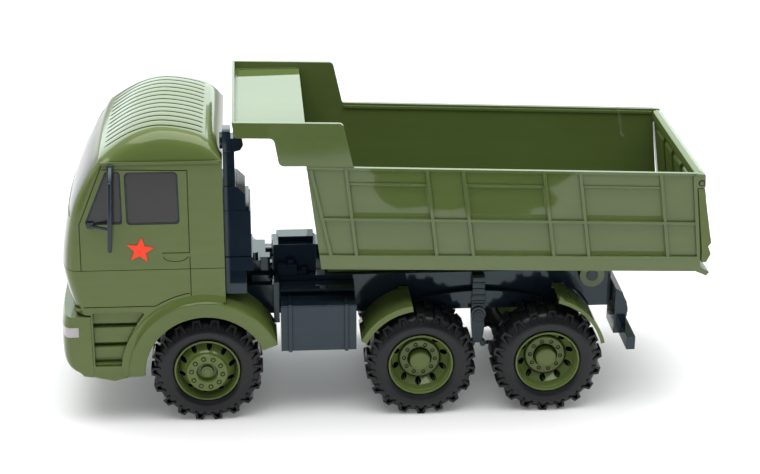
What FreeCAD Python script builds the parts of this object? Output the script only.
import FreeCAD, Part
import math
import os

# Toy tipper truck with three axles, about 1:12.5.
# Millimetres. +Z up, floor at Z = 0. The cab faces -X, the tailgate +X.
# The truck's left side is -Y. Y = 0 is the centre plane.
# X = 0 is half way between the bumper's front and the load bed's rear lip.
# Paired pieces are modelled on the left and mirrored to the right.

# ---- driving dimensions ----
front_x, middle_x, rear_x = -164.39, 34.42, 153.75      # axle positions
tyre_r = 51.7
axle_z = tyre_r                         # the tyres stand on the floor
tyre_outer_y = 94.4                     # outer face of the tyres
tyre_w = 39.4
rim_r = 28.0                            # rim barrel, outside
run_gap = 0.05                          # radial running clearance
axle_r = 2.5
axle_hole_r = axle_r + run_gap
cab_half = 96.0                         # cab half width
cab_rear_x = -146.0
cab_seam_z = 156.2                      # seam between the two cab shells
upper_base_z = cab_seam_z + 0.3         # lower edge of the upper shell
cab_base_z = 112.4                      # lower edge of the lower shell's nose
wall = 2.6                              # moulded wall thickness
rail_out = 45.0                         # outer face of the chassis rails
rail_face = rail_out + 0.15             # inner face of what sits against a rail
rail_top, rail_bot = 125.0, 87.0
rail_top_cab = 116.0                    # rail top under the cab
rail_t = 3.0                            # rail web and flange thickness
tub_half = 97.3                         # load bed half width over its ribs
tub_skin_in, tub_skin_out = 92.3, 94.8
hinge_x, hinge_z = 200.4, 120.7         # load bed hinge
hinge_pin_r = 5.3
hinge_hole_r = hinge_pin_r + run_gap
gate_x, gate_z = 286.6, 229.4           # tailgate pivot
gate_pin_r = 2.0
gate_hole_r = gate_pin_r + run_gap
arch_r_out, arch_r_in = 70.0, 56.5      # front wheel arch lip
arch_clear_r = arch_r_out - 1.0         # what is cut away for the arch
bogie_x = 92.2                          # middle of the rear springs
cab_screw_xy = [(x, y) for x in (-266.0, -160.0) for y in (-38.0, 38.0)]

Vector = FreeCAD.Vector


# ---- geometry helpers ----
def box(x0, x1, y0, y1, z0, z1):
    return Part.makeBox(x1 - x0, y1 - y0, z1 - z0, Vector(x0, y0, z0))


def cyl_x(y, z, r, x0, x1):
    return Part.makeCylinder(r, x1 - x0, Vector(x0, y, z), Vector(1, 0, 0))


def cyl_y(x, z, r, y0, y1):
    return Part.makeCylinder(r, y1 - y0, Vector(x, y0, z), Vector(0, 1, 0))


def cyl_z(x, y, r, z0, z1):
    return Part.makeCylinder(r, z1 - z0, Vector(x, y, z0), Vector(0, 0, 1))


def fuse(first, *others):
    return first.fuse(list(others)).removeSplitter()


def cut(shape, *tools):
    for tool in tools:
        shape = shape.cut(tool)
    return shape


def mirrored(shape):
    return shape.mirror(Vector(0, 0, 0), Vector(0, 1, 0))


def both_sides(shapes):
    return Part.Compound([s for shape in shapes for s in (shape, mirrored(shape))])


def span(side, inner, outer):
    """Y range between two distances from the centre plane; side is 1 or -1."""
    return sorted((side * inner, side * outer))


def largest(shape):
    return max(shape.Solids, key=lambda solid: solid.Volume)


def outline(pts, place):
    """Closed face through points (u, v) or (u, v, corner radius)."""
    corners = []                        # (arrival, arc middle or None, departure)
    for i, p in enumerate(pts):
        before, after = pts[i - 1], pts[(i + 1) % len(pts)]
        sharp = (p[:2], None, p[:2])
        radius = p[2] if len(p) > 2 else 0.0
        if radius <= 0:
            corners.append(sharp)
            continue
        a = (before[0] - p[0], before[1] - p[1])
        b = (after[0] - p[0], after[1] - p[1])
        len_a, len_b = math.hypot(*a), math.hypot(*b)
        a = (a[0] / len_a, a[1] / len_a)
        b = (b[0] / len_b, b[1] / len_b)
        angle = math.acos(max(-1.0, min(1.0, a[0] * b[0] + a[1] * b[1])))
        if angle > math.pi - 0.02:
            corners.append(sharp)
            continue
        # Where two long roundings would meet, the radius shrinks to fit.
        trim = min(radius / math.tan(angle / 2), 0.49 * len_a, 0.49 * len_b)
        radius = trim * math.tan(angle / 2)
        mid = (a[0] + b[0], a[1] + b[1])
        reach = (radius / math.sin(angle / 2) - radius) / math.hypot(*mid)
        corners.append(((p[0] + a[0] * trim, p[1] + a[1] * trim),
                        (p[0] + mid[0] * reach, p[1] + mid[1] * reach),
                        (p[0] + b[0] * trim, p[1] + b[1] * trim)))
    edges = []
    for i, (arrive, middle, leave) in enumerate(corners):
        if middle is not None:
            edges.append(Part.Arc(place(*arrive), place(*middle), place(*leave)).toShape())
        start, end = place(*leave), place(*corners[(i + 1) % len(corners)][0])
        if start.distanceToPoint(end) > 1e-6:
            edges.append(Part.makeLine(start, end))
    return Part.Face(Part.Wire(edges))


def prism_x(pts, x0, x1):
    """Extrude a (y, z) outline along X."""
    return outline(pts, lambda u, v: Vector(x0, u, v)).extrude(Vector(x1 - x0, 0, 0))


def prism_y(pts, y0, y1):
    """Extrude an (x, z) outline along Y."""
    return outline(pts, lambda u, v: Vector(u, y0, v)).extrude(Vector(0, y1 - y0, 0))


def prism_z(pts, z0, z1):
    """Extrude an (x, y) outline along Z."""
    return outline(pts, lambda u, v: Vector(u, v, z0)).extrude(Vector(0, 0, z1 - z0))


def rounded_rect(u0, u1, v0, v1, radius):
    return [(u0, v0, radius), (u1, v0, radius), (u1, v1, radius), (u0, v1, radius)]


def sector_y(x, z, r_in, r_out, deg0, deg1, y0, y1):
    """Part of a ring about a Y axis, angles in degrees from +X towards +Z."""
    def at(r, deg):
        a = math.radians(deg)
        return Vector(x + r * math.cos(a), y0, z + r * math.sin(a))
    mid = (deg0 + deg1) / 2
    edges = [Part.Arc(at(r_out, deg0), at(r_out, mid), at(r_out, deg1)).toShape(),
             Part.makeLine(at(r_out, deg1), at(r_in, deg1)),
             Part.Arc(at(r_in, deg1), at(r_in, mid), at(r_in, deg0)).toShape(),
             Part.makeLine(at(r_in, deg0), at(r_out, deg0))]
    return Part.Face(Part.Wire(edges)).extrude(Vector(0, y1 - y0, 0))


def revolve_left(profile):
    """Revolve (distance left of the centre plane, radius) points about the Y axis."""
    pts = [Vector(r, -t, 0) for t, r in profile]
    face = Part.Face(Part.makePolygon(pts + pts[:1]))
    return face.revolve(Vector(0, 0, 0), Vector(0, 1, 0), 360)


def lerp(table, x):
    if x <= table[0][0]:
        return table[0][1]
    for (x0, y0), (x1, y1) in zip(table, table[1:]):
        if x <= x1:
            return y0 + (y1 - y0) * (x - x0) / (x1 - x0)
    return table[-1][1]


def spline(pts):
    curve = Part.BSplineCurve()
    curve.interpolate(pts)
    return curve.toShape()


# ---- cab form ----
# Front face at the centre plane: (z, x).
nose_line = [(112, -288.0), (120, -289.6), (130, -292.0), (140, -294.2), (156, -296.2),
             (170, -294.6), (184, -292.2), (200, -288.8), (211, -285.6), (229, -277.6),
             (244, -268.8), (257, -259.8), (262, -256.0)]
# How far the front face falls back towards the sides: (|y|, set-back).
setback = [(0, 0.0), (30, 0.6), (60, 2.4), (78, 5.0), (86, 7.4), (91, 10.0), (94, 13.0), (96, 17.0)]
# Share of the roof's rise above the gutter: (|y|, share).
roof_rise = [(0, 1.0), (60, 0.985), (74, 0.955), (82, 0.90), (88, 0.76),
             (92, 0.55), (94.5, 0.30), (96, 0.0)]
# Roof at the centre plane: (x, z).
roof_line = [(-256.0, 262.0), (-248.6, 267.6), (-240.0, 273.4), (-228.0, 280.2),
             (-216, 284.6), (-205.0, 286.6), (-190.0, 286.0), (-175.0, 283.0),
             (-163.4, 279.0), (-155.0, 273.4), (-149.5, 266.6), (-146.0, 259.0)]
gutter_z = 259.0
brow_rise = 3.0                         # front end of the roof above the gutter
half_stations = [0, 30, 60, 74, 82, 88, 92, 94.5, 96]
stations_y = [-y for y in reversed(half_stations[1:])] + half_stations


def inset_y(station, inset):
    return station * (cab_half - inset) / cab_half


def loft_stations(section):
    return Part.makeLoft([section(y) for y in stations_y], True, False)


def upper_solid(inset, base_z):
    """Solid upper cab, its surface moved inward by inset."""
    def section(station):
        back = lerp(setback, abs(station))
        rise = lerp(roof_rise, abs(station))
        y = inset_y(station, inset)
        brow = Vector(roof_line[0][0] + back * 0.42 + inset, y,
                      gutter_z + brow_rise * rise - inset * 0.6)
        front = []
        for z in (base_z, 170, 184, 200, 211, 229, 244):
            up = max(0.0, min(1.0, (z - 156.0) / 106.0))
            front.append(Vector(lerp(nose_line, z) + back * (1 - 0.58 * up) + inset, y, z))
        front.append(brow)
        rear = cab_rear_x - inset
        first_x, last_x = roof_line[0][0], roof_line[-1][0]
        roof = [brow]
        for x, z in roof_line[1:]:
            along = (x - first_x) / (last_x - first_x)
            if x == last_x:
                roof_z = gutter_z - inset * 1.5
            else:
                roof_z = gutter_z + (z - gutter_z) * rise - inset
            roof.append(Vector(brow.x + (rear - brow.x) * along, y, roof_z))
        rear_base = Vector(rear, y, base_z)
        return Part.Wire([spline(front), spline(roof),
                          Part.makeLine(roof[-1], rear_base),
                          Part.makeLine(rear_base, front[0])])
    return loft_stations(section)


def lower_solid(inset, z0, z1):
    """Solid lower cab, its surface moved inward by inset."""
    def section(station):
        back = lerp(setback, abs(station))
        y = inset_y(station, inset)
        rear = cab_rear_x - inset
        front = []
        for k in range(6):
            z = z0 + (z1 - z0) * k / 5.0
            front.append(Vector(lerp(nose_line, z) + back + inset, y, z))
        rear_top, rear_base = Vector(rear, y, z1), Vector(rear, y, z0)
        return Part.Wire([spline(front), Part.makeLine(front[-1], rear_top),
                          Part.makeLine(rear_top, rear_base),
                          Part.makeLine(rear_base, front[0])])
    return loft_stations(section)


def door_grooves(lines):
    """Fine straight grooves in both cab sides, from (x, z) end pairs."""
    half_w = 0.9 / 2
    tools = []
    for (x0, z0), (x1, z1) in lines:
        length = math.hypot(x1 - x0, z1 - z0)
        dx = -(z1 - z0) / length * half_w
        dz = (x1 - x0) / length * half_w
        strip = [(x0 + dx, z0 + dz), (x1 + dx, z1 + dz), (x1 - dx, z1 - dz), (x0 - dx, z0 - dz)]
        tools += [prism_y(strip, -97, -95.3), prism_y(strip, 95.3, 97)]
    return tools


# ---- upper cab and glazing ----
# Side window openings and the panes that stand in them: (x, z, corner radius).
door_window = [(-230.3, 201.4, 3.0), (-185.8, 201.4, 3.0), (-186.4, 248.2, 3.0),
               (-230.6, 248.2, 3.0)]
quarter_window = [(-266.6, 202.2, 2.0), (-236.6, 202.2, 2.0), (-236.4, 249.4, 3.0),
                  (-247.4, 249.4, 2.5)]
door_pane = [(-230.1, 201.6, 3.0), (-186.0, 201.6, 3.0), (-186.6, 248.0, 3.0),
             (-230.4, 248.0, 3.0)]
quarter_pane = [(-266.2, 202.4, 2.0), (-236.8, 202.4, 2.0), (-236.6, 249.2, 3.0),
                (-247.3, 249.2, 2.5)]
glass_back = [(-268.0, 199.6, 2.0), (-183.6, 199.6, 2.0), (-183.6, 252.0, 2.0),
              (-249.8, 252.0, 2.0)]
# Door outline above the seam.
door_lines_up = [((-251.4, 256.2), (-273.6, 200.7)), ((-273.6, 200.7), (-274.2, 157.0)),
                 ((-176.4, 250.6), (-176.6, 172.2)), ((-251.4, 252.6), (-180.0, 250.8)),
                 ((-201.3, 172.2), (-176.6, 172.2))]
roof_groove_pitch = 12.117


def windshield_outline(gap):
    """(y, z) outline of the windshield opening, drawn in by gap."""
    low, high, radius = 203.5 + gap, 254.5 - gap, 7.0
    half_low, half_high = 88.5 - gap, 85.5 - gap
    return [(-half_low, low, radius), (half_low, low, radius),
            (half_high, high, radius), (-half_high, high, radius)]


def cab_upper_shell():
    shell = upper_solid(0.0, upper_base_z)
    shell = shell.cut(upper_solid(wall, cab_seam_z - 2.0))
    shell = cut(shell, prism_y(door_window, -99, 99), prism_y(quarter_window, -99, 99),
                prism_x(windshield_outline(0.0), -312, -250))
    shell = cut(shell, *door_grooves(door_lines_up))
    # Shallow recess in each door, the lower part of a disc.
    recess = cyl_y(-189.2, 172.0, 9.0, -96.5, -94.6).common(
        box(-203, -175, -97, -94, 162.5, 170.5))
    shell = cut(shell, recess, mirrored(recess))
    # Thirteen fine grooves along the roof and a double line across its rear.
    band = upper_solid(-0.8, upper_base_z).cut(upper_solid(0.9, cab_seam_z))
    slots = []
    for k in range(13):
        y = -72.7 + roof_groove_pitch * k
        slots.append(box(-248.8, -163.6, y - 0.6, y + 0.6, 255.0, 300.0))
    for x in (-161.9, -160.2):
        slots.append(box(x, x + 0.7, -99.0, 99.0, 259.6, 300.0))
    shell = shell.cut(band.common(Part.Compound(slots)))
    # Rain gutter over each door.
    gutter = prism_y([(-253.0, 256.6, 0.4), (-146.2, 256.6, 0.4),
                      (-146.2, 259.4, 0.4), (-252.2, 259.4, 0.4)], -97.0, -95.6)
    shell = fuse(shell, gutter, mirrored(gutter))
    # Locating lip that drops inside the lower shell.
    core = lower_solid(wall + 2.4, 150.0, cab_seam_z + 6.0)
    lip = lower_solid(wall + 0.7, 151.5, cab_seam_z + 3.0).cut(core)
    ledge = lower_solid(1.8, upper_base_z, cab_seam_z + 3.0).cut(core)
    return fuse(shell, ledge, lip)


def windshield():
    """One curved sheet that fills the front opening."""
    sheet = upper_solid(0.7, 190).cut(upper_solid(2.4, 185))
    return sheet.common(prism_x(windshield_outline(0.3), -312, -250.2))


def side_glass():
    """One moulding: a backing sheet with two panes standing in the openings."""
    back = prism_y(glass_back, -93.2, -91.9)
    back = back.common(upper_solid(wall + 0.15, 190))
    return fuse(back, prism_y(door_pane, -94.9, -92.5), prism_y(quarter_pane, -94.9, -92.5))


# ---- lower cab ----
# Side skirt, step well opening, well moulding and the limit of its steps: (x, z, radius).
skirt = [(-268.0, 114.0), (-146.0, 114.0), (-146.0, 90.0), (-238.0, 48.0, 2.0),
         (-249.5, 45.5, 3.0), (-268.0, 49.8)]
well_opening = [(-265.0, 113.6, 1.5), (-216.0, 113.6, 1.5), (-226.5, 101.0, 2.0),
                (-234.5, 86.0, 2.0), (-238.0, 72.0), (-238.4, 60.5, 1.5), (-265.0, 60.5, 1.5)]
well_outside = [(-267.0, 114.5), (-213.5, 114.5), (-224.5, 101.5), (-232.5, 87.0),
                (-236.2, 72.0), (-236.6, 58.7), (-267.0, 58.7)]
step_limit = [(-266.4, 115), (-214.5, 115), (-225.3, 101.3), (-233.4, 86.6),
              (-237.2, 72.0), (-237.5, 59.4), (-266.4, 59.4)]
# Door outline below the seam.
door_lines_low = [((-274.2, 155.0), (-274.2, 120.2)), ((-274.2, 120.2), (-208.0, 120.2)),
                  ((-208.0, 120.2), (-196.0, 126.0)), ((-196.0, 126.0), (-177.3, 128.2)),
                  ((-176.8, 155.0), (-177.3, 128.2))]


def grille_outline(gap):
    return rounded_rect(-62.0 + gap, 62.0 - gap, 122.5 + gap, 151.0 - gap, 3.0)


def lower_side():
    """Left skirt with its step well and front wheel arch."""
    side = prism_y(skirt, -cab_half, -cab_half + wall)
    side = side.cut(cyl_y(front_x, axle_z, arch_clear_r, -99, -90))
    well = prism_y(well_outside, -94.0, -85.0)
    well = well.cut(prism_y(well_opening, -97, -86.6))
    steps = [box(-266, -216, -94.6, -86.0, z, z + 3.2).common(prism_y(step_limit, -99, -80))
             for z in (96.2, 76.6)]
    arch_lip = sector_y(front_x, axle_z, arch_r_in, arch_r_out, 23.0, 181.0, -98.0, -95.0)
    arch_sheet = sector_y(front_x, axle_z, arch_r_out - 3.0, arch_r_out,
                          23.0, 181.0, -98.0, -51.0)
    arch_end = sector_y(front_x, axle_z, arch_r_in, arch_r_out, 23.0, 27.0, -98.0, -51.0)
    side = fuse(side.cut(prism_y(well_opening, -97, -92)), well, *steps)
    return fuse(side, arch_lip, arch_sheet, arch_end)


def cab_lower_shell():
    shell = lower_solid(0.0, cab_base_z, cab_seam_z).cut(
        lower_solid(wall, 108.0, cab_seam_z + 3.0))
    side = lower_side()
    floor = box(-284.0, -147.0, -94.5, 94.5, 116.1, 118.7)
    floor = floor.common(lower_solid(1.0, cab_base_z, cab_seam_z))
    shell = fuse(shell, floor)
    shell = shell.cut(cyl_y(front_x, axle_z, arch_clear_r, -100, -51.5))
    shell = shell.cut(cyl_y(front_x, axle_z, arch_clear_r, 51.5, 100))
    shell = fuse(shell, side, mirrored(side))
    # Screw bosses on the floor.
    for x, y in cab_screw_xy:
        shell = fuse(shell, cyl_z(x, y, 4.2, 117.0, 129.0))
        shell = shell.cut(cyl_z(x, y, 1.55, 110.0, 127.0))
    shell = cut(shell, *door_grooves(door_lines_low))
    # Notch where the chassis rails leave through the rear wall.
    shell = shell.cut(box(-152.0, -144.0, -46.0, 46.0, 105.0, 116.1))
    return shell.cut(prism_x(grille_outline(0.0), -310, -280))


def front_grille():
    grille = lower_solid(0.8, cab_base_z, cab_seam_z).cut(
        lower_solid(2.6, 108.0, cab_seam_z + 3.0))
    grille = grille.common(prism_x(grille_outline(0.2), -310, -281))
    for k in range(4):
        z = 126.5 + k * 6.4
        for y0, y1 in ((-57, -20.5), (-18.5, 18.5), (20.5, 57)):
            grille = grille.cut(box(-310, -280, y0, y1, z, z + 3.0))
    return grille


# ---- front bumper, mirrors and badges ----
# Bumper front at the centre plane: (z, x).
bumper_line = [(110.6, -296.2), (103.0, -298.7), (92.0, -299.5), (72.0, -299.4),
               (61.0, -297.0), (54.6, -290.3)]


def bumper_solid(inset):
    line_top, line_base = bumper_line[0][0], bumper_line[-1][0]
    top, base = line_top - inset, line_base + inset
    # The inner form starts further back, which leaves the bumper open behind.
    rear = -268.3 + (8.0 if inset else 0.0)

    def section(station):
        back = lerp(setback, abs(station)) * 0.62
        y = inset_y(station, inset)
        front = []
        for z, x in bumper_line:
            fitted_z = top + (z - line_top) * (top - base) / (line_top - line_base)
            front.append(Vector(x + back + inset, y, fitted_z))
        under_front = Vector(-277.0, y, 50.8 + inset)
        under_rear = Vector(rear, y, 49.6 + inset)
        rear_top = Vector(rear, y, top)
        return Part.Wire([spline(front), Part.makeLine(front[-1], under_front),
                          Part.makeLine(under_front, under_rear),
                          Part.makeLine(under_rear, rear_top),
                          Part.makeLine(rear_top, front[0])])
    return loft_stations(section)


def front_bumper():
    """Wraps round both corners, with an opening for each headlight."""
    bumper = bumper_solid(0.0).cut(bumper_solid(wall))
    bumper = bumper.cut(box(-286.0, -240.0, -47.0, 47.0, 84.0, 113.0))
    opening = prism_x(rounded_rect(-99, -66, 90.4, 100.3, 0.8), -305, -279.4)
    return largest(cut(bumper, opening, mirrored(opening)))


def headlight_lens():
    lens = bumper_solid(0.0).cut(bumper_solid(2.0))
    zone = prism_x(rounded_rect(-99, -66.2, 90.6, 100.1, 0.8), -305, -279.7)
    return largest(lens.common(zone))


def side_mirror():
    """Tall thin housing with two arms."""
    housing = prism_y([(-247.6, 181.0, 1.6), (-242.8, 181.0, 1.6),
                       (-241.4, 250.0, 1.6), (-246.2, 250.0, 1.6)], -117.0, -101.0)
    arm_top = prism_x([(-95.9, 252.6), (-95.9, 256.0), (-104.0, 250.5), (-104.0, 246.5)],
                      -246.2, -243.0)
    pad = cyl_y(-244.6, 252.9, 3.0, -98.4, -96.05)
    arm_low = prism_z([(-265.4, -95.99), (-261.4, -95.99), (-244.2, -103.0),
                       (-247.2, -104.8)], 198.2, 201.2)
    return largest(fuse(housing, arm_top, pad, arm_low).cut(upper_solid(0.0, 160)))


def door_badges():
    """Thin five-pointed star on each door."""
    star_x, star_z, star_r = -220.5, 175.4, 12.9
    pts = []
    for k in range(10):
        angle = math.radians(90 - 7 + 36 * k)
        r = star_r if k % 2 == 0 else star_r * 0.43
        pts.append((star_x + r * math.cos(angle), star_z + r * math.sin(angle)))
    return both_sides([prism_y(pts, -cab_half - 0.45, -cab_half - 0.02)])


# ---- chassis ----
# Crossmembers: (front x, bottom z, top z).
crossmembers = [(x, 89.0, 114.0) for x in (-281.0, -206.0, -124.0)]
crossmembers += [(x, 88.0, 124.0) for x in (-99.0, -20.0, 88.0, 176.0, 214.0)]


def chassis_frame():
    bars = []
    for side in (1, -1):
        web = span(side, rail_out - rail_t, rail_out)
        flange = span(side, 31.0, rail_out)
        for x0, x1, top in ((-281.0, -99.0, rail_top_cab), (-100.0, 219.5, rail_top)):
            bars += [box(x0, x1, *web, rail_bot, top),
                     box(x0, x1, *flange, top - rail_t, top),
                     box(x0, x1, *flange, rail_bot, rail_bot + rail_t)]
        # End plate and tank hanger outside each rail.
        bars.append(box(-101.5, -96.0, *span(side, rail_out - 1, 60.0), 84.0, rail_top))
        bars.append(box(-95.0, -26.0, *span(side, rail_out - 1, 66.0), 117.5, 120.0))
    for x, z0, z1 in crossmembers:
        bars.append(box(x, x + 5, -43, 43, z0, z1))
    # Tow block at the nose, behind the bumper.
    bars.append(box(-284.0, -277.0, -30, 30, 90.0, 106.0))
    frame = fuse(*bars)
    pin_hole = cyl_y(hinge_x, hinge_z, hinge_hole_r, -60, 60)
    frame = frame.cut(pin_hole)
    for x, y in cab_screw_xy:
        frame = frame.cut(cyl_z(x, y, 1.9, 108.0, 118.0))
    # Bearing eyes for the hinge pin inside the rails.
    for side in (1, -1):
        eye = cyl_y(hinge_x, hinge_z, 8.2, *span(side, 36, 44))
        eye = eye.common(box(180, 219, -50, 50, 100, rail_top))
        frame = fuse(frame, eye.cut(pin_hole))
    # Stubs that carry the rear bumper.
    for side in (1, -1):
        frame = fuse(frame, box(216.0, 220.8, *span(side, 20, 44), 92.0, 112.0))
    return frame


def cab_screws():
    head_z = 110.6
    below_head = box(-300, -100, -60, 60, 100, head_z)
    return Part.Compound([
        fuse(cyl_z(x, y, 1.5, 110.0, 126.0), cyl_z(x, y, 3.0, head_z, 112.9)).cut(below_head)
        for x, y in cab_screw_xy])


# ---- axles and springs ----
cap_t = 1.7                             # axle end cap thickness
# Axle: (x, rod half length, outer face of the end cap, end cap radius).
axles = {"front": (front_x, 95.2, 95.0, 5.4),
         "middle": (middle_x, 80.4, 80.0, 4.6),
         "rear": (rear_x, 80.4, 80.0, 4.6)}


def leaf_pack(x, z, half_len, leaf_t, leaves, y0, y1, rise):
    """A stack of leaves as one moulding: the longest on top, each next one shorter.

    z is the top at mid-length; the ends of the top leaf lie higher by rise.
    """
    def top_z(u):
        return z + rise * (u / half_len) ** 2
    lengths = [half_len * (1 - 0.17 * k) for k in range(leaves)]
    pack_t = leaf_t * leaves
    top = [(x + half_len * k / 10.0, top_z(half_len * k / 10.0)) for k in range(-10, 11)]
    right = []
    for k, length in enumerate(lengths):
        under = leaf_t * (k + 1)
        right.append((x + length, top_z(length) - under))
        if k + 1 < leaves:
            shorter = lengths[k + 1]
            right.append((x + shorter, top_z(shorter) - under))
    for part in (0.66, 0.33):
        u = lengths[-1] * part
        right.append((x + u, top_z(u) - pack_t))
    left = [(2 * x - u, v) for u, v in reversed(right)]
    return prism_y(top + right + [(x, z - pack_t)] + left, y0, y1)


def leaf_spring_front():
    """Leaf pack with a seat on the axle beam and an eye at each end."""
    half_len, mid_z, rise = 46.0, 74.0, 9.0
    y0, y1 = -43.0, -33.0
    pack = leaf_pack(front_x, mid_z, half_len, leaf_t=2.6, leaves=4, y0=y0, y1=y1, rise=rise)
    return fuse(pack, box(front_x - 6, front_x + 6, y0, y1, axle_z + 8.2, 66.0),
                cyl_y(front_x - half_len, mid_z + rise, 3.4, y0, y1),
                cyl_y(front_x + half_len, mid_z + rise, 3.4, y0, y1))


def leaf_spring_rear():
    return leaf_pack(bogie_x, 108.4, 62.0, leaf_t=3.1, leaves=4, y0=-52.6, y1=-46.2, rise=-9.2)


def axle_beam_front():
    seats = [box(front_x - 8, front_x + 8, y0, y0 + 12, axle_z - 6, axle_z + 8.1)
             for y0 in (-44, 32)]
    beam = fuse(cyl_y(front_x, axle_z, 7.0, -54.0, 54.0), *seats)
    return beam.cut(cyl_y(front_x, axle_z, axle_hole_r, -60, 60))


def axle_housing(x):
    """Tube with a ball at the centre plane and a post under each spring end."""
    housing = fuse(cyl_y(x, axle_z, 7.0, -54.0, 54.0),
                   Part.makeSphere(15.5, Vector(x, 0, axle_z)),
                   cyl_y(x, axle_z, 12.0, -12, 12))
    for side in (1, -1):
        housing = fuse(housing, box(x - 5, x + 5, *span(side, 46.2, 52.6), axle_z, 95.6))
    return housing.cut(cyl_y(x, axle_z, axle_hole_r, -60, 60))


# Bogie bracket outlines: (x from bogie_x, z).
bracket_plate = [(-5.6, 123.4), (5.4, 123.4), (6.8, 88.0), (6.4, 72.0), (4.6, 57.5),
                 (-4.6, 57.5), (-6.4, 72.0), (-6.8, 88.0)]
bracket_upper = [(-5.6, 123.4), (5.4, 123.4), (5.8, 109.6), (-5.8, 109.6)]
bracket_lower = [(-6.6, 91.0), (6.6, 91.0), (6.2, 72.0), (4.4, 57.5), (-4.4, 57.5), (-6.2, 72.0)]


def bogie_bracket():
    def block(pts, y0, y1):
        return prism_y([(bogie_x + u, z) for u, z in pts], y0, y1)
    inner, outer, plate_in = -rail_face, -53.5, -52.9
    bracket = fuse(block(bracket_plate, -54.0, plate_in),
                   block(bracket_upper, outer, inner), block(bracket_lower, outer, inner),
                   cyl_y(bogie_x, 85.3, 7.3, -55.6, plate_in),
                   cyl_y(bogie_x, 85.3, 4.4, -56.6, plate_in),
                   cyl_y(bogie_x, 85.3, 2.0, -57.2, plate_in))
    # Level ribs across the outer face.
    for z in (94.5, 97.5, 103.5, 110.0, 116.0, 121.6):
        bracket = fuse(bracket, box(bogie_x - 5.6, bogie_x + 5.6, -54.8, outer, z, z + 1.2))
    # Foot: a block between two short cylinders.
    bracket = fuse(bracket, cyl_y(bogie_x + 5.3, 53.6, 2.9, -53.6, -47.6),
                   box(bogie_x - 5, bogie_x + 5, -53.4, -47.8, 54.6, 58.0))
    return fuse(bracket, cyl_y(bogie_x - 5.3, 53.6, 2.9, -53.6, -47.6))


def torque_rods():
    rods = []
    for direction, x in ((-1, middle_x), (1, rear_x)):
        ends = sorted((bogie_x + direction * 8.4, x - direction * 7.2))
        rods.append(cyl_x(-50.6, 53.4, 1.9, *ends))
    return both_sides(rods)


def axle_end_caps():
    caps = []
    for x, rod_half, cap_out, cap_r in axles.values():
        cap = cyl_y(x, axle_z, cap_r, -cap_out, -cap_out + cap_t)
        caps.append(cap.cut(cyl_y(x, axle_z, axle_r + 0.02, -99, -60)))
    return both_sides(caps)


# ---- pieces on the rails ----
def side_tank():
    tank = prism_x([(-88.0, 67.2, 1.2), (-rail_face, 67.2), (-rail_face, 113.0),
                    (-88.0, 113.0, 1.2)], -95.4, -25.6)
    return fuse(tank, cyl_z(-52.0, -56.0, 3.4, 113.0, 116.2))


def tank_straps():
    straps = []
    for x in (-86.8, -34.8):
        outside = prism_x([(-88.9, 66.2, 1.4), (-46.0, 66.2), (-46.0, 114.0),
                           (-88.9, 114.0, 1.4)], x - 1.7, x + 1.7)
        inside = prism_x([(-88.08, 67.1, 1.3), (-40.0, 67.1), (-40.0, 113.1),
                          (-88.08, 113.1, 1.3)], x - 2, x + 2)
        straps.append(outside.cut(inside))
    return both_sides(straps)


def mid_fender():
    """Rolled plate with a deeper outer edge and a stay to the rail."""
    fender = fuse(sector_y(middle_x, axle_z, 59.2, 61.8, 98.0, 154.5, -94.6, -48.0),
                  sector_y(middle_x, axle_z, 56.2, 61.8, 98.0, 154.5, -94.6, -91.8))
    stay = box(16.0, 24.0, -50.0, -rail_face, 104.0, 112.0)
    return fuse(fender, stay.cut(cyl_y(middle_x, axle_z, 56.0, -60, -40)))


def rear_fender():
    """As the middle fender, rolled about a centre of its own."""
    x, z, r_out = 146.0, 55.0, 62.9
    fender = fuse(sector_y(x, z, 60.8, r_out, 14.5, 75.0, -94.6, -53.0),
                  sector_y(x, z, 59.3, r_out, 14.5, 75.0, -94.6, -92.0))
    return fuse(fender, box(165.0, 172.0, -53.6, -rail_face, 106.0, 112.0),
                sector_y(x, z, 58.0, r_out, 62.0, 75.0, -56.0, -53.0))


def hoist_pump_box():
    """Blocks and round bosses on the rails, ahead of the load bed."""
    base = rail_top + 0.1
    return fuse(box(-100.9, -61.0, -36.0, -8.0, base, 153.0),
                box(-96.0, -63.0, -26.0, -8.0, 150.0, 157.2),
                box(-97.0, -61.0, -9.0, 36.0, base, 139.0),
                box(-97.0, -79.0, -44.6, -30.0, base, 136.0),
                cyl_z(-85.0, -39.5, 3.6, 134.0, 140.0),
                cyl_z(-72.0, -39.5, 3.0, base, 131.5),
                box(-79.5, -70.0, -43.0, -35.0, base, 129.0))


def gearbox_block():
    base = rail_top_cab + 0.1
    barrel = cyl_x(0, 127.0, 9.0, -136.0, -101.8).common(box(-140, -90, -30, 30, base, 140))
    return fuse(box(-134.0, -101.8, -24.0, 24.0, base, 130.0),
                box(-125.6, -108.0, -32.0, 20.0, base, 136.0), barrel,
                box(-113.0, -104.0, -34.0, -22.0, base, 140.0),
                cyl_z(-118.5, -28.0, 3.5, 130.0, 143.5),
                box(-122.0, -104.0, -40.0, -30.0, base, 124.0))


def air_cleaner_box():
    """Stacked boxes behind the cab, left side only."""
    front = -145.2
    cleaner = fuse(
        prism_y([(front, 208.8), (-125.6, 208.8), (-125.6, 224.0), (-133.0, 231.4),
                 (front, 231.4)], -88.0, -40.0),
        box(front, -121.0, -88.0, -32.0, 164.4, 208.2),
        box(front, -122.4, -86.6, -34.0, 160.0, 212.0),
        box(front, -119.8, -88.0, -32.0, 150.0, 163.0),
        box(front, -126.0, -84.0, -30.0, 125.2, 152.0),
        box(front, -126.0, -44.6, -31.5, 116.1, 127.0))
    return cleaner.cut(box(-150, -144.9, -90, 0, 207.9, 209.2))


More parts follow.
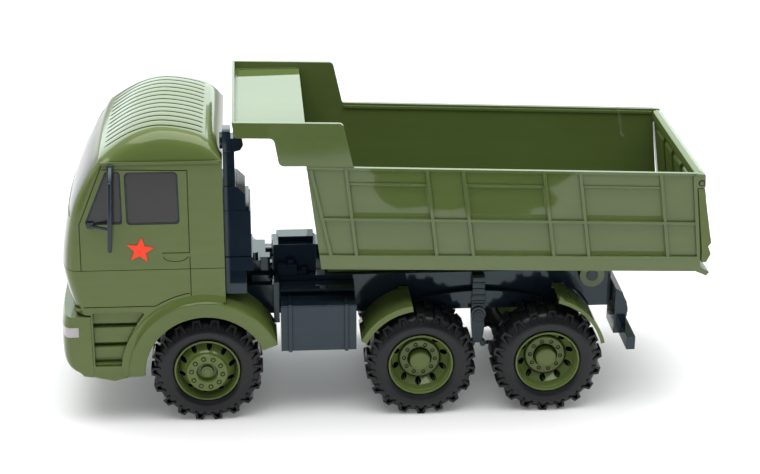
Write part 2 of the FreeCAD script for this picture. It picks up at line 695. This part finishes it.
def air_intake_stack():
    """Duct above the air cleaner, trimmed clear of the cab."""
    front = -144.8
    stack = fuse(
        box(front, -134.4, -87.0, -73.0, 231.5, 266.0),
        prism_x([(-88.0, 264.0, 2.0), (-70.0, 264.0, 2.0), (-70.0, 284.6, 3.0),
                 (-88.0, 284.6, 3.0)], front, -137.6),
        prism_y([(-138.5, 263.0), (-129.0, 265.5), (-126.4, 270.0), (-127.4, 276.6),
                 (-138.5, 276.6)], -87.0, -71.0),
        cyl_x(-79.0, 272.6, 7.6, -147.4, -144.0))
    return largest(stack.cut(upper_solid(-0.4, 160)))


def rear_bumper():
    """Cross bar and carrier with moulded lamp clusters."""
    front, face = 221.0, 232.5
    solids = [box(228.6, 236.6, -90.0, 90.0, 61.0, 74.0),
              box(front, face, -64.0, 64.0, 66.0, 98.0),
              prism_y([(front, 96.0), (face, 96.0), (228.0, 108.0), (front, 112.5)],
                      -64.0, 64.0)]
    for side in (1, -1):
        for k in range(3):
            solids.append(cyl_x(side * (36.0 + 10.5 * k), 88.0, 3.9, 232.0, 234.4))
        solids.append(box(232.0, 233.4, *span(side, 30.5, 62.5), 82.4, 93.6))
    return fuse(*solids).cut(box(219.0, 230.0, -29.0, 29.0, 60.0, 90.0))


# ---- load bed ----
def low_line(x):
    """Z of the side wall's lower edge."""
    return 153.4 + (142.5 - 153.4) / (291.3 + 58.1) * (x + 58.1)


def top_line(x):
    """Z of the side wall's upper edge."""
    return 251.6 + (238.2 - 251.6) / (287.0 + 70.7) * (x + 70.7)


# Side wall outline, in runs shared by the wall and its thicker front part: (x, z, radius).
wall_front = [(-136.2, 294.0, 1.0), (-133.4, 279.7, 1.5), (-99.4, 278.7, 5.0),
              (-94.8, 252.7, 5.0), (-70.9, 252.3)]
wall_below = [(-58.1, 153.4, 1.0), (291.3, 142.5), (290.3, 156.0), (287.0, 238.2, 1.5)]
wall_peak = [(-28.8, 250.0, 2.0), (-38.2, 291.4, 4.5)]
# Edge ribs and the long middle rib of the side wall: (x, z).
edge_ribs = [
    [(-58.3, 153.4), (291.3, 142.5), (290.5, 155.9), (-60.0, 167.1)],
    [(-70.8, top_line(-70.8)), (287.0, top_line(287.0)),
     (286.8, top_line(287.0) - 5.0), (-70.2, top_line(-70.8) - 5.0)],
    [(-70.7, 250.0), (-58.1, 153.4), (-45.0, 153.0), (-47.0, 166.7), (-61.6, 247.3)],
    [(276.4, 236.4), (287.0, 237.0), (290.6, 156.0), (283.6, 156.0)],
    [(-60.0, 203.4), (287.0, 190.8), (287.0, 187.8), (-60.0, 200.4)]]
# Leaning upright ribs: (x at the top, x at the bottom).
upright_ribs = [(-36.7, -26.1), (36.3, 47.4), (68.8, 80.6), (142.4, 154.8),
                (175.1, 187.0), (248.9, 260.9)]


def tub_side():
    """Left wall with its ribs, rails and tailgate boss."""
    skin = prism_y(wall_front + wall_below + wall_peak, -tub_skin_out, -tub_skin_in)
    thick = wall_front + [(-70.7, 249.0), (-28.6, 248.0)] + wall_peak
    skin = fuse(skin, prism_y(thick, -96.0, -tub_skin_out))
    rib_in = -tub_skin_out + 0.3        # ribs overlap the skin
    half_w = 2.4
    uprights = [[(top - half_w, top_line(top) - 3), (top + half_w, top_line(top) - 3),
                 (low + half_w, low_line(low) + 10), (low - half_w, low_line(low) + 10)]
                for top, low in upright_ribs]
    ribs = fuse(*[prism_y(pts, -tub_half, rib_in) for pts in edge_ribs + uprights])
    ridges = []
    for x0, x1 in ((-33.0, 37.0), (72.0, 144.0), (178.0, 250.0)):
        drop0, drop1 = 0.035 * (x0 + 30), 0.035 * (x1 + 30)
        ridges.append(prism_y([(x0, 234.6 - drop0), (x1, 234.6 - drop1),
                               (x1, 232.8 - drop1), (x0, 232.8 - drop0)], -96.0, rib_in))
    inner_rail = prism_y([(-28.0, top_line(-28) - 0.2), (278.0, top_line(278) - 0.2),
                          (278.0, top_line(278) - 3.4), (-27.6, top_line(-28) - 3.4)],
                         -tub_skin_in - 0.2, -90.3)
    gate_boss = cyl_y(gate_x, gate_z, 4.3, -98.2, -95.0)
    side = fuse(skin, ribs, inner_rail, gate_boss, *ridges)
    return side.cut(cyl_y(gate_x, gate_z, gate_hole_r, -99, -90))


def dump_tub():
    inside = 93.5                       # cross panels end inside the wall skins
    side = tub_side()
    lug = fuse(cyl_y(hinge_x, hinge_z, 11.8, -51.0, -46.0),
               prism_y([(190.4, 121.5), (210.4, 121.5), (213.0, low_line(213) + 3.0),
                        (186.0, low_line(186) + 3.0)], -51.0, -46.0))
    web = prism_y([(-50.0, 125.3), (184.0, 125.3), (184.0, low_line(184) + 3),
                   (-50.0, low_line(-50) + 3)], -39.0, -33.0)
    floor = [(-57.8, low_line(-57.8) + 2.0), (289.5, low_line(289.5) + 2.0),
             (289.5, low_line(289.5) + 5.0), (-57.8, low_line(-57.8) + 5.0)]
    front_wall = [(-58.1, 153.6), (-74.3, 286.0), (-71.3, 286.0), (-55.1, 153.6)]
    canopy = [(-135.2, 283.3), (-135.2, 286.0), (-71.6, 286.0), (-72.0, 283.3)]
    canopy_edge = [(-136.2, 294.0), (-133.7, 294.0), (-131.4, 279.7), (-133.4, 279.7)]
    rear_lip = [(285.5, low_line(285.5) + 5.0), (290.0, 147.3), (300.3, 141.6),
                (297.3, 138.1), (285.5, low_line(285.5) + 0.6)]
    panels = [prism_y(pts, -inside, inside) for pts in (floor, front_wall, canopy, canopy_edge)]
    tub = fuse(side, mirrored(side), *panels, prism_y(rear_lip, -tub_half, tub_half),
               lug, mirrored(lug), web, mirrored(web))
    return tub.cut(cyl_y(hinge_x, hinge_z, hinge_hole_r, -60, 60))


# ---- tailgate ----
gate_panel = [(288.4, 224.0), (291.6, 151.4), (296.3, 151.4, 1.5), (300.3, 159.6, 2.0),
              (297.2, 167.2), (299.9, 170.4, 1.0), (290.2, 224.0)]
gate_rail = [(284.0, 232.0), (291.0, 231.0), (290.4, 237.4, 1.5), (284.0, 237.4, 1.5)]
gate_neck = [(287.6, 236.0), (290.8, 236.0), (291.4, 220.0), (288.6, 220.0)]
inner_pocket = [(280.0, 226.0), (289.6, 226.0), (293.6, 158.0), (280.0, 158.0)]
outer_pocket = [(294.4, 215.0), (305.0, 215.0), (305.0, 176.0), (296.9, 176.0)]
gate_ear = [(gate_x - 1.0, gate_z - 4.4), (290.6, gate_z - 6.5),
            (290.6, gate_z + 3.4), (gate_x, gate_z + 4.4)]


def tailgate():
    """Hangs from two pins near the top rear corners of the load bed."""
    gate = fuse(prism_y(gate_panel, -tub_half, tub_half),
                prism_y(gate_rail, -89.6, 89.6), prism_y(gate_neck, -89.6, 89.6))
    # Pockets between the upright ribs, inside and outside.
    for pocket, count, first, pitch, width in ((inner_pocket, 6, -87.0, 29.4, 26.0),
                                               (outer_pocket, 4, -92.0, 46.5, 43.0)):
        for k in range(count):
            y = first + k * pitch
            gate = gate.cut(prism_y(pocket, y, y + width))
    for side in (1, -1):
        y0, y1 = span(side, 88.4, 91.9)
        gate = fuse(gate, fuse(cyl_y(gate_x, gate_z, 4.6, y0, y1), prism_y(gate_ear, y0, y1)))
    return cut(gate, cyl_y(gate_x, gate_z, gate_hole_r, -99, -86),
               cyl_y(gate_x, gate_z, gate_hole_r, 86, 99))


# ---- wheels, modelled at the origin for the left side ----
def tyre():
    outer, inner = tyre_outer_y, tyre_outer_y - tyre_w
    bore = rim_r + 0.06
    body = revolve_left([
        (inner + 4.2, bore), (inner + 4.2, 30.0), (inner + 2.0, 32.0), (inner, 40.0),
        (inner + 1.4, 44.5), (inner + 4.0, 47.6), (outer - 4.0, 47.6), (outer - 1.4, 44.5),
        (outer, 40.0), (outer - 2.0, 32.0), (outer - 5.0, 30.2), (outer - 5.0, bore)])
    # Tread blocks in two rows, staggered by half a pitch.
    blocks = []
    for face, inward, phase in ((outer, -1, 0.0), (inner, 1, 10.0)):
        pts = [Vector(-5.2, -(face + inward * depth), z) for depth, z in (
            (0.5, 42.0), (0.5, 48.6), (3.2, tyre_r), (17.5, tyre_r), (17.5, 42.0))]
        for k in range(18):
            block = Part.Face(Part.makePolygon(pts + pts[:1])).extrude(Vector(10.4, 0, 0))
            block.rotate(Vector(0, 0, 0), Vector(0, 1, 0), phase + k * 20.0)
            blocks.append(block)
    body = body.fuse(blocks)
    return body.common(cyl_y(0, 0, tyre_r, -outer - 1, -inner + 1)).removeSplitter()


# Rim profiles: (distance left of the centre plane, radius).
rim_barrel = [(57.0, 25.8), (57.0, 29.6), (58.4, 29.6), (59.0, rim_r), (89.8, rim_r),
              (90.6, 29.9), (92.4, 29.9), (92.8, 28.6), (91.4, 27.0)]
front_disc = [(86.6, 26.2), (94.2, 18.6), (96.9, 18.2), (97.2, 17.4), (97.2, 10.2),
              (92.6, 9.6), (92.6, axle_hole_r), (55.2, axle_hole_r), (55.2, 6.0),
              (88.6, 6.4), (90.0, 14.0), (82.6, 25.8)]
rear_disc = [(84.8, 26.2), (77.6, 18.8), (77.2, 18.2), (77.2, axle_hole_r),
             (55.2, axle_hole_r), (55.2, 6.0), (72.6, 6.4), (74.0, 17.6), (81.6, 25.8)]


def ring_of_ten(ring_r, r, first_deg, y0, y1):
    angles = [math.radians(first_deg + 36 * k) for k in range(10)]
    return [cyl_y(ring_r * math.cos(a), ring_r * math.sin(a), r, y0, y1) for a in angles]


def rim(disc, holes, nuts):
    """Barrel and disc, with ten holes and ten nuts."""
    body = cut(revolve_left(rim_barrel + disc), *holes)
    return body.fuse(nuts).removeSplitter()


def wheel_pieces():
    tyre_left = tyre()
    front_rim = rim(front_disc, holes=ring_of_ten(22.6, 2.7, 18, -99, -80),
                    nuts=ring_of_ten(14.4, 2.1, 0, -98.6, -96.5))
    rear_rim = rim(rear_disc, holes=ring_of_ten(22.4, 2.7, 18, -99, -70),
                   nuts=ring_of_ten(14.0, 1.9, 0, -79.2, -76.5))
    hub_cap = revolve_left([(77.25, 6.4), (77.25, 9.6), (83.4, 9.3), (84.6, 8.6),
                            (85.2, 7.2), (85.2, 0.0), (82.6, 0.0), (82.6, 6.4)])
    rear_wheel = {"tyre": tyre_left, "rim": rear_rim, "hub_cap": hub_cap}
    wheels = {"front": {"tyre": tyre_left, "rim": front_rim},
              "middle": rear_wheel, "rear": rear_wheel}
    placed = {}
    for axle, parts in wheels.items():
        for part, shape in parts.items():
            for side, copy in (("left", shape.copy()), ("right", mirrored(shape))):
                copy.translate(Vector(axles[axle][0], 0, axle_z))
                placed["%s_%s_%s" % (part, axle, side)] = copy
    return placed


# ---- all pieces ----
pieces = {
    "cab_upper_shell": cab_upper_shell(),
    "windshield": windshield(),
    "cab_lower_shell": cab_lower_shell(),
    "front_grille": front_grille(),
    "front_bumper": front_bumper(),
    "door_badges": door_badges(),
    "chassis_frame": chassis_frame(),
    "tub_hinge_pin": cyl_y(hinge_x, hinge_z, hinge_pin_r, -51.6, 51.6),
    "cab_screws": cab_screws(),
    "axle_beam_front": axle_beam_front(),
    "axle_housing_middle": axle_housing(middle_x),
    "axle_housing_rear": axle_housing(rear_x),
    "torque_rods": torque_rods(),
    "axle_end_caps": axle_end_caps(),
    "tank_straps": tank_straps(),
    "hoist_pump_box": hoist_pump_box(),
    "gearbox_block": gearbox_block(),
    "air_cleaner_box": air_cleaner_box(),
    "air_intake_stack": air_intake_stack(),
    "rear_bumper": rear_bumper(),
    "dump_tub": dump_tub(),
    "tailgate": tailgate(),
    "tailgate_pins": both_sides([cyl_y(gate_x, gate_z, gate_pin_r, -98.9, -87.6)]),
}
for axle, (x, rod_half, cap_out, cap_r) in axles.items():
    pieces["axle_" + axle] = cyl_y(x, axle_z, axle_r, -rod_half, rod_half)

left_pieces = {
    "side_glass": side_glass(),
    "headlight_lens": headlight_lens(),
    "mirror": side_mirror(),
    "leaf_spring_front": leaf_spring_front(),
    "leaf_spring_rear": leaf_spring_rear(),
    "bogie_bracket": bogie_bracket(),
    "side_tank": side_tank(),
    "mid_fender": mid_fender(),
    "rear_fender": rear_fender(),
}
for name, shape in left_pieces.items():
    pieces[name + "_left"] = shape
    pieces[name + "_right"] = mirrored(shape)
pieces.update(wheel_pieces())

os.makedirs("parts", exist_ok=True)
for name, shape in pieces.items():
    # Repairs a piece whose booleans left it slightly invalid.
    if not shape.isValid():
        shape.fix(1e-4, 1e-4, 1e-3)
    shape.exportStep("parts/%s.step" % name)
